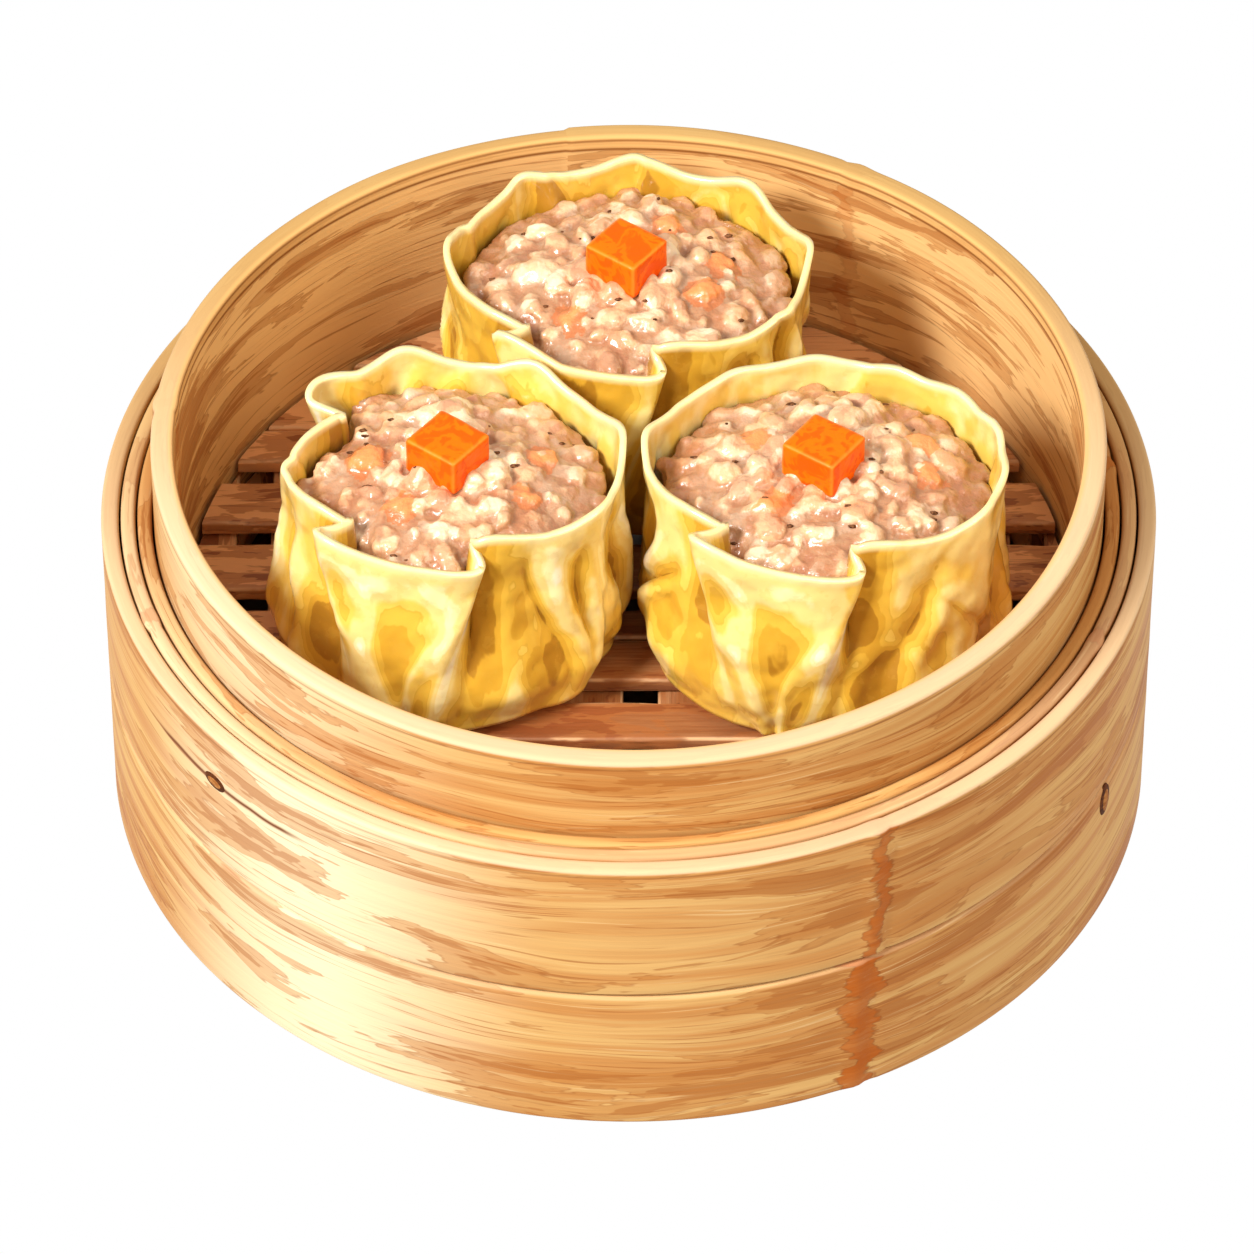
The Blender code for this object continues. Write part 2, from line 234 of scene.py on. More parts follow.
def weather_hoop(hoop, node, joints, lap):
    """Raise the cane's joints, let the lapped end stand proud, and leave the edges slightly uneven."""
    inside, outside = hoop_radii(node)
    bottom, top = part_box(node)[0].z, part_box(node)[1].z
    middle = (inside + outside) / 2
    for point in hoop.verts:
        radius, turn, height = math.hypot(point.co.x, point.co.y), turn_of(point.co), point.co.z
        outward = 1.0 if radius > middle else -INNER_SHARE
        ragged = JOINT_WANDER * noise.noise(Vector((0.0, 0.0, height / MM * 0.35)))
        grown = FACE_WANDER * noise.noise(Vector((turn * 0.05, height / MM * 0.2, outside / MM)))
        for joint, _, _ in joints:
            along = math.radians(turn_between(turn, joint)) * outside + ragged
            grown += RIDGE * hump(along, RIDGE_SPREAD) - CREASE * hump(along - CREASE_OFFSET, CREASE_SPREAD)
        past = turn_between(turn, lap)
        if past > 0:
            grown -= LAP_STEP * (1.0 - ramp(past, 0.0, LAP_RUN))
        wide = (radius + outward * grown) / radius
        wander = noise.noise(Vector((turn * 0.04, top / MM, outside / MM)))
        rise = EDGE_WANDER * wander * ramp(height, (bottom + top) / 2, top)
        point.co = (point.co.x * wide, point.co.y * wide, height + rise)


def bamboo(name, hoop, top, inner_face_radius=0.0, crack=None):
    """Split bamboo with its grain along the hoop: streaks, stains with crisp edges, and brown joints."""
    finish = Finish(name, roughness=0.5, specular_ior_level=0.08)
    opened = finish.node("Mapping", {"Vector": finish.place,
                                     "Rotation": (0, 0, math.radians(180 - hoop["lap"]))})
    x, y, height = finish.split(opened)
    turn = finish.math("ARCTAN2", x, finish.times(y, -1.0))
    along = finish.times(turn, CANE_RADIUS)
    radius = finish.from_axis(x, y)

    def along_at(degrees):
        """Where a turn comes on the strip once it is opened at its lap and laid flat, in millimetres."""
        return math.radians(turn_between(degrees, hoop["lap"] + 180.0)) * CANE_RADIUS

    # The grain runs along the strip and drifts slowly up and down.
    drift = finish.noise(finish.stretch(along, height, radius, 0.018, 0.07, 0.07), 1.0, 1.0)
    level = finish.math("ADD", height, finish.times(drift, 9.0))
    fibres = finish.noise(finish.stretch(along, level, radius, 0.022, 1.0, 1.0), 1.7, 3.0, 0.6)
    streaks = finish.noise(finish.stretch(along, level, radius, 0.035, 1.0, 1.0), 0.36, 3.0, 0.55)
    stains = finish.noise(finish.stretch(along, level, radius, 0.12, 1.0, 1.0), 0.22, 4.0, 0.58, 0.3)
    for joint, _, _ in hoop["joints"]:
        near_joint = finish.band(along, along_at(joint), 30.0)
        stains = finish.math("ADD", stains, finish.times(near_joint, 0.085))

    finish.base(finish.step(streaks, 0.36, 0.62), "B67F45", "C69C60")
    # One stretch of the strip is paler, a painted highlight. Stains, with a darker heart and a fine outline,
    # lie over it, and then dark and pale fibres.
    highlight_turn, reach, strength = hoop["painted_highlight"]
    finish.lay(finish.band(along, along_at(highlight_turn), reach), "E2D0AC", strength)
    # Painted light: the inner face of the inner hoop is lighter all round, where the walls shade it.
    if inner_face_radius:
        within = finish.step(radius, inner_face_radius + 1.0, inner_face_radius + 0.3)
        finish.lay(within, "E8BC7E", 0.85)
    finish.lay(finish.step(stains, STAIN, STAIN + 0.02), "A86A2E", 0.50)
    finish.lay(finish.step(stains, DARK_STAIN, DARK_STAIN + 0.015), "945018", 0.48)
    finish.lay(finish.band(stains, STAIN + 0.012, 0.012), "824618", 0.35)
    finish.lay(finish.step(fibres, 0.57, 0.68), "8C4C1A", 0.60)
    finish.lay(finish.step(fibres, 0.40, 0.30), "D4B684", 0.45)

    # Each joint is a ragged brown line across the strip, with a darker outline.
    for joint, reach, strength in hoop["joints"]:
        wander = finish.noise(finish.stretch(along, height, radius, 0.08, 0.22, 0.1), 1.0, 4.0, 0.7)
        away = finish.math("ADD", along, finish.times(wander, 7.0))
        away = finish.math("ADD", away, finish.times(stains, -9.0))
        off = finish.math("ABSOLUTE", finish.math("SUBTRACT", away, along_at(joint) - 1.2))
        patchy = finish.step(streaks, 0.35, 0.6, 0.65 * strength, strength)
        brown = finish.times(finish.step(off, reach + 0.35, reach - 0.05), patchy)
        finish.lay(brown, "A6520C")
        finish.lay(finish.band(off, reach + 0.2, 0.35), "7A3C10", 0.5 * strength)
    if crack:
        crack_turn, crack_height, crack_half = crack
        wave = finish.noise(finish.stretch(along, radius, radius, 0.1, 0.0, 0.0), 1.0)
        off = finish.math("SUBTRACT", height, finish.times(wave, 1.2))
        ends = finish.step(finish.band(along, along_at(crack_turn), crack_half), 0.0, 0.35)
        thin = finish.times(finish.band(off, crack_height - 0.6, 0.65), ends)
        finish.lay(thin, "6A3410")

    # The cut top has a paler tone of its own and is paler in front than behind, a painted highlight. The
    # fine dark line just under it is painted shadow.
    rim = finish.times(finish.step(height, top / MM - 0.7, top / MM - 0.3), hoop["pale"])
    from_back = finish.step(finish.split(finish.place)[1], 40.0, -25.0)
    finish.shade = finish.blend(rim, finish.shade, finish.blend(from_back, tone("BA965E"), tone("DABC98")))
    painted_shadow_line = finish.times(finish.band(height, top / MM - 1.05, 0.3), hoop["pale"])
    finish.lay(painted_shadow_line, "6E4420", 0.6)
    if inner_face_radius:
        # Under the rim the inner face has a narrow tan band between two fine dark lines.
        tan_band = finish.times(within, finish.step(height, top / MM - 2.1, top / MM - 1.9))
        finish.lay(tan_band, "D9A868", 0.7)
        for down, strength in ((2.0, 0.9), (0.5, 0.75)):
            cut = finish.times(within, finish.band(height, top / MM - down, 0.42))
            finish.lay(cut, "7A4418", strength)
    finish.feed("Roughness", finish.step(streaks, 0.3, 0.7, 0.45, 0.6))
    grain = finish.noise(finish.stretch(along, height, radius, 0.022, 1.0, 1.0), 1.7, 1.0)
    finish.relief(grain, 0.06 * MM)
    return finish.done()


def stand(name, data):
    made = bpy.data.objects.new(name, data)
    bpy.context.scene.collection.objects.link(made)
    return made


def place(mesh_data, name, finish, nodes, sharp=38.0):
    """Make the bmesh an object of the root body that stands for these nodes. Edges over sharp stay hard."""
    mesh = bpy.data.meshes.new(name)
    mesh_data.to_mesh(mesh)
    mesh_data.free()
    mesh.shade_smooth()
    if sharp:
        mesh.set_sharp_from_angle(angle=math.radians(sharp))
    mesh.materials.append(finish)
    piece = stand(name, mesh)
    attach(piece, "root")
    if nodes:
        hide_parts(*nodes)
    return piece


for node, hoop in HOOPS.items():
    shaped = spun_hoop(node, hoop["rows"])
    weather_hoop(shaped, node, hoop["joints"], hoop["lap"])
    inside_radius = hoop_radii(node)[0] / MM if node == "inner_hoop" else 0.0
    crack = CRACK[1:] if node == CRACK[0] else None
    cane = bamboo("bamboo_" + node, hoop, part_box(node)[1].z, inside_radius, crack)
    place(shaped, "bent_" + node, cane, [node])

# The knot and the peg. A bud scar stands out of the upper band at the left, on the crack in the cane. At
# the right a split bamboo peg is driven in where the two bands meet. Each sits in a darker rim.
SCARS = (                       # name, turn, height in millimetres, and half its width, depth and height
    ("bud_scar", -50.0, 37.9, (1.8 * MM, 0.42 * MM, 0.95 * MM)),
    ("bamboo_peg", 64.0, 20.6, (1.25 * MM, 0.5 * MM, 2.4 * MM)),
)
SCAR_RIM = 0.38 * MM            # how wide the darker rim is
SCAR_RIM_DEPTH = 0.85           # how far the rim stands out, as a share of the scar's own depth
SCAR_SUNK = 0.15 * MM           # how far the middle of a scar lies inside the wall


def scar(turn, height, half, grown, depth):
    """A flat oval stud in the outer wall: how much wider than its half sizes, and how far it stands out."""
    stud = bmesh.new()
    bmesh.ops.create_icosphere(stud, subdivisions=4, radius=1.0)
    bmesh.ops.scale(stud, vec=(half[0] + grown, depth, half[2] + grown), verts=stud.verts)
    wall = hoop_radii("outer_band_upper")[1]
    bmesh.ops.translate(stud, vec=(0, SCAR_SUNK - wall, height * MM), verts=stud.verts)
    bmesh.ops.rotate(stud, cent=(0, 0, 0), matrix=Matrix.Rotation(math.radians(turn), 3, "Z"),
                     verts=stud.verts)
    return stud


def scar_wood(name, dark, light):
    finish = Finish(name, roughness=0.7, specular_ior_level=0.1)
    x, y, z = finish.split(finish.place)
    rings = finish.noise(finish.stretch(x, y, z, 1.0, 1.0, 2.2), 1.1, 3.0)
    finish.base(finish.step(rings, 0.4, 0.6), dark, light)
    return finish.done()


rim_wood = scar_wood("scar_rim", "42200A", "5A2E0E")
heart_wood = scar_wood("scar_heart", "8A5224", "A8703A")
for name, turn, height, half in SCARS:
    rim = scar(turn, height, half, SCAR_RIM, half[1] * SCAR_RIM_DEPTH)
    place(rim, name + "_rim", rim_wood, [], sharp=None)
    place(scar(turn, height, half, 0.0, half[1]), name, heart_wood, [], sharp=None)

# The deck. Flat strips of bamboo, dark from years of steam, lie left to right on wider ones that run
# front to back on a bent ring. They are split and trimmed with a knife, so their edges are rounded and
# nicked, and a painted highlight makes the edges paler than the faces.
STRIP_EDGE = 0.45 * MM
STRIP_CUTS = 40                 # cuts across a strip
FACE_CUTS = 5                   # cuts along it
STRIP_GAP = 0.3 * MM            # between a strip's end and the hoop
NICK = 0.35 * MM                # how deep the nicks in the edges are
STRIP_WANDER = 0.12 * MM        # how unevenly the strips' faces are planed


def deck_strip(node, across):
    """A box whose length follows the round wall at both ends, its edges rounded and nicked."""
    low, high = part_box(node)
    reach = hoop_radii("deck_ring")[1] - STRIP_GAP
    near, far = (low.y, high.y) if across else (low.x, high.x)
    width, thick = far - near, high.z - low.z
    strip = bmesh.new()
    bmesh.ops.create_cube(strip, size=1.0)
    bmesh.ops.scale(strip, vec=(2.0, width, thick), verts=strip.verts)
    lengthwise = [edge for edge in strip.edges if abs(edge.verts[0].co.x - edge.verts[1].co.x) > 1.0]
    bmesh.ops.bevel(strip, geom=lengthwise, offset=STRIP_EDGE, segments=3, profile=0.5, affect="EDGES",
                    material=-1)
    lengthwise = [edge for edge in strip.edges if abs(edge.verts[0].co.x - edge.verts[1].co.x) > 1.0]
    bmesh.ops.subdivide_edges(strip, edges=lengthwise, cuts=STRIP_CUTS, use_grid_fill=True)
    for cut in range(1, FACE_CUTS + 1):
        bmesh.ops.bisect_plane(strip, geom=strip.verts[:] + strip.edges[:] + strip.faces[:],
                               plane_co=(0, width * (cut / (FACE_CUTS + 1) - 0.5), 0), plane_no=(0, 1, 0))
    # The edge mask carries a painted highlight along the rounded edges.
    deck_edge_highlight = strip.verts.layers.float.new("deck_edge_highlight")
    for point in strip.verts:
        side = width / 2 - abs(point.co.y)
        depth = thick / 2 - abs(point.co.z)
        at_edge = ramp(max(side, depth), STRIP_EDGE * 1.05, STRIP_EDGE * 0.8)
        line = near + width / 2 + point.co.y
        half = math.sqrt(reach ** 2 - line ** 2)
        spot = Vector((point.co.x * half, line, point.co.z)) / MM
        chip = at_edge * NICK * max(noise.noise(spot * 0.45) * 1.6, 0.0) ** 2
        wave = STRIP_WANDER * noise.noise(Vector((spot.x * 0.08, spot.y * 0.3, spot.z)))
        point[deck_edge_highlight] = at_edge
        x = point.co.x * (half - ramp(abs(point.co.x), 0.97, 1.0) * 0.1 * MM)
        y = line - math.copysign(chip, point.co.y)
        z = (low.z + high.z) / 2 + point.co.z + (wave - chip) * math.copysign(1.0, point.co.z)
        point.co = (x, y, z) if across else (y, x, z)
    bmesh.ops.recalc_face_normals(strip, faces=strip.faces)
    return strip


def damp_bamboo(name, across):
    """Old damp bamboo: red-brown with darker water stains and fine grain along it, a painted highlight on
    its nicked edges, painted light at the sides and painted shade at the front.
    """
    finish = Finish(name, roughness=0.5, specular_ior_level=0.4, coat_weight=0.2, coat_roughness=0.3)
    x, y, z = finish.split(finish.place)
    along, over = (x, y) if across else (y, x)
    fibres = finish.noise(finish.stretch(along, over, z, 0.05, 1.0, 1.0), 1.7, 3.0, 0.6)
    stains = finish.noise(finish.stretch(along, over, z, 0.25, 1.0, 1.0), 0.24, 4.0, 0.58, 0.3)
    finish.base(finish.step(fibres, 0.35, 0.65), "9A5E34", "AC7448")
    # Painted light lifts the sides of the deck, which the walls shade, and painted shade darkens the front,
    # where the key lamp falls full.
    painted_light_at_sides = finish.step(finish.math("ABSOLUTE", x), 14.0, 36.0)
    finish.lay(painted_light_at_sides, "EEB27A", 0.9)
    painted_shade_in_front = finish.step(y, -14.0, -38.0)
    finish.lay(painted_shade_in_front, "784628", 0.9)
    finish.lay(finish.step(stains, 0.47, 0.49), "9C5A2A", 0.6)
    finish.lay(finish.step(stains, 0.56, 0.575), "844420", 0.8)
    finish.lay(finish.step(fibres, 0.58, 0.72), "7A3E1A", 0.6)
    # Painted highlight: a paler tone in patches along the rounded edges.
    edge_patches = finish.noise(finish.stretch(along, over, z, 0.35, 1.0, 1.0), 0.5, 3.0)
    edge = finish.times(finish.attribute("deck_edge_highlight"), finish.step(edge_patches, 0.42, 0.58, 0.15, 0.75))
    finish.lay(edge, "E6B988")
    finish.relief(fibres, 0.12 * MM)
    return finish.done()


slat_finish = damp_bamboo("damp_slats", across=True)
board_finish = damp_bamboo("damp_boards", across=False)
for node in sorted(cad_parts):
    if node.startswith("slat_"):
        place(deck_strip(node, across=True), "split_" + node, slat_finish, [node])
    if node.startswith("board_"):
        place(deck_strip(node, across=False), "split_" + node, board_finish, [node])
place(spun_hoop("deck_ring", 2), "bent_deck_ring", board_finish, ["deck_ring"])

# The wrappers. Each is a round of yellow wheat dough, rolled thin and gathered up round the filling, so
# that its wall falls in pleats and its rim stands in waves. Steam leaves it soft, shiny and half clear.
# Its colour has painted highlight, cream, on the ridges and painted shade, deep yellow to ochre, in the
# hollows.
DECK_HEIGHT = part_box("slat_1")[1].z
FIT_GAP = 0.3 * MM              # between a wrapper and the deck or its neighbour
DOUGH_THICKNESS = 0.9 * MM
DUMPLING_HEIGHT = 29.5 * MM
# The cup's width, as a share of its radius, at heights from 0 to 1.
CUP_PROFILE = ((0.80, 0.0), (0.98, 0.05), (1.05, 0.24), (1.02, 0.50), (0.985, 0.78), (1.0, 1.0))
BASE_DEPTH_RATIO = 0.98         # front to back against left to right, at the base and at the rim
RIM_DEPTH_RATIO = 0.865
CUP_COLUMNS = 400               # columns of faces round a cup, a multiple of 16
CUP_ROWS = 58
ROW_CROWDING = 1.15             # above 1, the rows lie closer together towards the base
CUP_FLOOR_RINGS = 5
CREST_RISE = 2.2 * MM           # how far a full wave of the rim rises, and how far it leans out
CREST_FLARE = 1.3 * MM
CREST_WIDTH = 10.5              # degrees
PLEAT_SPREAD = 12.0             # degrees that a pleat takes up on each side of its middle
PLEAT_FOLD = 15.0               # how many degrees of dough are drawn over themselves at the rim
PLEAT_STEP = 3.3 * MM           # how far the upper layer stands over the lower one
PLEAT_PINCH = 2.2 * MM          # how far a pleat draws the rim in
PINCH_SPREAD = 2.3              # how far that reaches, in pleat spreads
PLEAT_SLANT = 17.0              # degrees that a pleat leans between the base and the rim
UNDER_AT, UNDER_WIDTH = 0.42, 2.6       # the crease under a pleat's edge: pleat spreads, degrees
EDGE_AT, EDGE_WIDTH = 0.25, 2.2         # the pleat's edge itself
COLUMN_CROWDING = 0.6           # how strongly the columns of faces draw towards a pleat
SWELLS = ((0.16, 0.55 * MM), (0.42, 0.22 * MM))     # the soft unevenness of the dough: scale, height
FRONT_CRESTS = ((-66, 0.5), (-31, 1.1), (1, -0.8), (27, 0.8))       # turn, strength
FRONT_PLEATS = ((-45, 1), (12, -1))                 # turn, and the side whose layer lies on top
# thin is painted shade added to the dough's depth of yellow, most on the rear one, which the others
# shade; sunk is the height of the oval in the front panel.
DUMPLINGS = (
    dict(name="left", x=-23.7 * MM, y=-7.2 * MM, radius=22.6 * MM, seed=3, thin=0.0, sunk=0.52,
         crests=FRONT_CRESTS + ((-143, 0.6), (194, 1.0), (152, 0.8), (104, 0.7), (60, 0.5)),
         pleats=FRONT_PLEATS + ((-127, -1),)),
    dict(name="right", x=25.5 * MM, y=-7.8 * MM, radius=23.3 * MM, seed=8, thin=0.06, sunk=0.52,
         crests=FRONT_CRESTS + ((-152, 0.3), (182, 0.4), (155, 0.35), (131, 0.5), (108, 0.6), (85, 0.55),
                                (62, 0.5), (-104, 0.6)),
         pleats=FRONT_PLEATS),
    dict(name="rear", x=-0.3 * MM, y=31.7 * MM, radius=23.8 * MM, seed=5, thin=0.35, sunk=0.78,
         crests=FRONT_CRESTS + ((-148, 0.7), (177, 0.8), (138, 0.8), (98, 0.8), (62, 0.5), (-100, 0.6)),
         pleats=FRONT_PLEATS),
)
FOLD_SPACING = 19.0             # degrees from one soft fold to the next
PLEAT_ROOM = 13                 # degrees on each side of a pleat that stay free of soft folds
FOLD_DEPTH = 2.1 * MM
FOLD_SWELL = 1.3 * MM           # how far the ridge beside a fold stands out
CREASE_DEPTH = 1.3 * MM         # the sharp crease under the overlap of each pleat
SKIRT_WANDER = 1.6 * MM         # how far the foot of the wall strays from round
DENTS = 26
DENT_DEPTH = 0.75 * MM


def soft_folds(dumpling):
    """The soft folds between the pleats: where each starts, leans, bends, and how deep and wide it is."""
    chance = random.Random(dumpling["seed"])
    count = round(360 / FOLD_SPACING)
    folds = []
    for number in range(count):
        start = number * 360 / count + chance.uniform(-6, 6)
        folds.append(dict(start=start, lean=chance.uniform(-14, 14), bend=chance.uniform(-9, 9),
                          depth=chance.uniform(0.35, 1.0), width=chance.uniform(4.0, 7.5),
                          low=chance.uniform(0.0, 0.25), high=chance.uniform(0.7, 1.15)))
    for centre, _ in dumpling["pleats"]:
        folds = [fold for fold in folds if abs(turn_between(fold["start"], centre)) > PLEAT_ROOM]
    low, high = sorted(centre for centre, _ in FRONT_PLEATS)
    return [fold for fold in folds if not low < turn_between(fold["start"], 0) < high]


def soft_dents(dumpling):
    """Shallow sunken ovals in the dough: turn, height, half width, half height and strength of each."""
    chance = random.Random(dumpling["seed"] + 60)
    dents = [(-14.0, dumpling["sunk"], 9.5, 0.24, 1.0), (-30.0, 0.72, 5.0, 0.12, 0.8),
             (1.0, 0.30, 5.5, 0.20, 0.8)]
    for number in range(DENTS):
        turn = number * 360 / DENTS + chance.uniform(-6, 6)
        if abs(turn_between(turn, -15)) > 30:
            dents.append((turn, chance.uniform(0.15, 0.75), chance.uniform(3.0, 7.0),
                          chance.uniform(0.10, 0.22), chance.uniform(0.4, 1.0)))
    return dents


def profile_share(height):
    """The cup's width at a height from 0 to 1, eased between the profile's points."""
    for (low_share, low), (high_share, high) in zip(CUP_PROFILE, CUP_PROFILE[1:]):
        if height <= high:
            return low_share + (high_share - low_share) * ramp(height, low, high)
    return CUP_PROFILE[-1][0]


def dough_point(dumpling, turn, share, height):
    """The middle of the dough, and how deep it lies in a fold, for a turn and a height from 0 to 1. The
    dough's colour turns that depth into painted shade, and ridges below 0 into painted highlight.
    """
    # The fold, the step and the waves all fade out towards the base.
    fold = ramp(height, 0.30, 1.0)
    step = 0.10 + 0.90 * ramp(height, 0.05, 0.70)
    wave = ramp(height, 0.45, 1.0)
    # The depth starts at the dumpling's thin value, its painted shade.
    azimuth, radius, lift, valley = turn, dumpling["radius"] * share, 0.0, dumpling["thin"]
    for centre, side in dumpling["pleats"]:
        across = turn_between(turn, centre) / PLEAT_SPREAD
        azimuth -= fold * PLEAT_FOLD * across * math.exp(-across ** 2 / 2)
        azimuth += side * PLEAT_SLANT * (1 - height) * math.exp(-(across / 2) ** 2)
        radius += step * side * PLEAT_STEP * math.tanh(1.3 * across) * math.exp(-across ** 2 / 6)
        radius -= wave * PLEAT_PINCH * math.exp(-(across / PINCH_SPREAD) ** 2)
        under = step * hump((across + side * UNDER_AT) * PLEAT_SPREAD, UNDER_WIDTH)
        radius -= CREASE_DEPTH * under
        edge = hump((across - side * EDGE_AT) * PLEAT_SPREAD, EDGE_WIDTH)
        valley += step * hump(across + side * 0.9, 0.7) + 0.6 * under - 0.7 * step * edge
    for centre, strength in dumpling["crests"]:
        crest = wave * strength * hump(turn_between(turn, centre), CREST_WIDTH)
        radius += CREST_FLARE * crest
        lift += CREST_RISE * crest
    skirt = noise.noise(Vector((math.sin(math.radians(turn)), math.cos(math.radians(turn)),
                                dumpling["seed"])) * 3.1)
    radius += SKIRT_WANDER * skirt * (1.0 - ramp(height, 0.05, 0.5))
    for crease in dumpling["folds"]:
        line = crease["start"] + crease["lean"] * (height - 0.5)
        line += crease["bend"] * math.sin(math.tau * height)
        strength = crease["depth"] * ramp(height, crease["low"] - 0.2, crease["low"] + 0.2)
        strength *= 1.0 - ramp(height, crease["high"] - 0.35, crease["high"])
        across, wide = turn_between(turn, line), crease["width"]
        if abs(across) > 5 * wide:
            continue
        hollow = strength * hump(across, wide)
        sharp = strength * hump(across - 0.35 * wide, 0.32 * wide)
        ridge = strength * hump(across - 1.3 * wide, 0.6 * wide)
        radius += FOLD_SWELL * ridge - FOLD_DEPTH * (0.7 * hollow + 0.45 * sharp)
        valley += 0.55 * hollow + 0.55 * sharp - 0.55 * ridge
    for centre, middle, wide, tall, strength in dumpling["dents"]:
        away = math.hypot(turn_between(turn, centre) / wide, (height - middle) / tall)
        if away < 2.5:
            dip = strength * hump(away ** 1.6, 1.0)
            radius -= DENT_DEPTH * dip
            valley += 0.75 * dip - 0.35 * strength * hump(away - 1.55, 0.3)

    depth_ratio = BASE_DEPTH_RATIO + (RIM_DEPTH_RATIO - BASE_DEPTH_RATIO) * height
    x = radius * math.sin(math.radians(azimuth))
    y = -radius * math.cos(math.radians(azimuth)) * depth_ratio
    spot = Vector((x, y, height * DUMPLING_HEIGHT)) / MM + Vector((dumpling["seed"] * 31.0, 0, 0))
    swell = sum(rise * noise.noise(spot * scale) for scale, rise in SWELLS)
    swell *= ramp(height, 0.0, 0.15) * (1.0 - 0.6 * ramp(height, 0.8, 1.0))
    x, y = x * (1 + swell / radius), y * (1 + swell / radius)
    valley -= swell / MM * 0.5
    for other in DUMPLINGS:
        if other is dumpling:
            continue
        # Where two dumplings press together, each stays on its own side of the plane between them.
        apart_x, apart_y = other["x"] - dumpling["x"], other["y"] - dumpling["y"]
        apart = math.hypot(apart_x, apart_y)
        room = apart / 2 - DOUGH_THICKNESS / 2 - FIT_GAP
        over = max((x * apart_x + y * apart_y) / apart - room, 0.0)
        x -= over * apart_x / apart
        y -= over * apart_y / apart
    z = DECK_HEIGHT + FIT_GAP + DOUGH_THICKNESS / 2 + (DUMPLING_HEIGHT - DOUGH_THICKNESS / 2) * height + lift
    return Vector((dumpling["x"] + x, dumpling["y"] + y, z)), min(max(valley, -1.0), 1.0)


def crowded(dumpling, turn):
    """Draw a turn towards the nearest pleat, so that the folds have more columns than the plain wall."""
    for centre, _ in dumpling["pleats"]:
        across = turn_between(turn, centre) / PLEAT_SPREAD
        turn -= COLUMN_CROWDING * PLEAT_SPREAD * across * math.exp(-across ** 2 / 2)
    return turn


def gathered_wrapper(dumpling):
    """A round of dough: its outline spun round the middle, then every point moved to the folded cup."""
    cup = bmesh.new()
    outline = [(number / CUP_FLOOR_RINGS, 0.0) for number in range(CUP_FLOOR_RINGS)]
    outline += [(1.0, (number / CUP_ROWS) ** ROW_CROWDING) for number in range(CUP_ROWS + 1)]
    corners = [cup.verts.new((radius, 0.0, height)) for radius, height in outline]
    for pair in zip(corners, corners[1:]):
        cup.edges.new(pair)
    turned(cup, CUP_COLUMNS // 16)
    # How deep each point lies in a hollow, kept for the dough's painted shade and painted highlight.
    valley = cup.verts.layers.float.new("valley")
    climb = cup.verts.layers.float.new("climb")
    for point in cup.verts:
        share, height = math.hypot(point.co.x, point.co.y), point.co.z
        turn = crowded(dumpling, turn_of(point.co))
        edge, point[valley] = dough_point(dumpling, turn, profile_share(height), height)
        middle = Vector((dumpling["x"], dumpling["y"], edge.z))
        point.co = middle.lerp(edge, min(share, 1.0))
        point[climb] = height
    return cup


def steamed_dough(name, inside_painted_shade):
    """Steamed egg-yellow dough, wet: cream painted highlight on the ridges, ochre painted shade in the
    hollows.
    """
    finish = Finish(name, roughness=0.34, specular_ior_level=0.5, coat_weight=0.8, coat_roughness=0.08,
                    subsurface_weight=0.12, subsurface_radius=(1.0, 0.62, 0.22), subsurface_scale=1.6 * MM)
    x, y, z = finish.split(finish.place)
    patches = finish.noise(finish.stretch(x, y, z, 1.0, 1.0, 0.55), 0.20, 3.0, 0.5, 0.6)
    fine = finish.noise(finish.place, 0.5, 3.0, 0.55, 0.3)
    deep = finish.math("ADD", finish.attribute("valley"), finish.times(patches, 0.9))
    climb = finish.attribute("climb")
    # Painted shade: the dough is deeper yellow towards the base.
    low = finish.step(climb, 0.75, 0.15, 0.0, 0.20)
    # Painted shade: the copy for the wrapper's inner face is deeper yellow.
    deep = finish.math("ADD", finish.math("ADD", deep, low), inside_painted_shade - 0.45)
    # From the crests down into the hollows, painted highlight to painted shade: cream, yellow, then ochre
    # and brown, each with a crisp edge.
    finish.base(finish.step(deep, -0.02, 0.22), "F2D98A", "EAC458")
    finish.lay(finish.step(deep, -0.22, -0.36), "FAEDB4", 0.85)
    # Painted highlight: near-white streaks on the highest ridges, above the lower part of the wall.
    crest = finish.times(finish.step(deep, -0.42, -0.54), finish.step(climb, 0.3, 0.55))
    finish.lay(crest, "FFFAE4", 0.7)
    finish.lay(finish.step(deep, 0.30, 0.335), "DEB03A", 0.8)
    finish.lay(finish.band(deep, 0.335, 0.03), "B48A26", 0.25)
    finish.lay(finish.step(deep, 0.52, 0.56), "CE9C2C", 0.75)
    finish.lay(finish.step(deep, 0.78, 0.86), "A4701A", 0.8)
    finish.lay(finish.step(fine, 0.57, 0.60), "D8AC44", 0.14)
    finish.lay(finish.step(climb, 0.95, 0.985), "F6E4A8", 0.8)
    finish.relief(finish.noise(finish.place, 0.34, 1.0, 0.4), 0.30 * MM)
    return finish.done()


dough = steamed_dough("steamed_dough", 0.0)
# A copy with painted shade, for the inner face of each wrapper.
painted_shade_dough = steamed_dough("steamed_dough_painted_shade", 0.06)
for dumpling in DUMPLINGS:
    dumpling["folds"] = soft_folds(dumpling)
    dumpling["dents"] = soft_dents(dumpling)
    cup = gathered_wrapper(dumpling)
    dumpling["wall"] = BVHTree.FromBMesh(cup)       # the filling stays inside it
    wrapper = place(cup, "dough_wrapper_" + dumpling["name"], dough,
                    ["wrapper_" + dumpling["name"]], sharp=None)
    wrapper.data.materials.append(painted_shade_dough)
    thickness = wrapper.modifiers.new("dough", "SOLIDIFY")
    thickness.material_offset = 1
    thickness.thickness = DOUGH_THICKNESS
    thickness.offset = 0.0
    thickness.use_even_offset = False

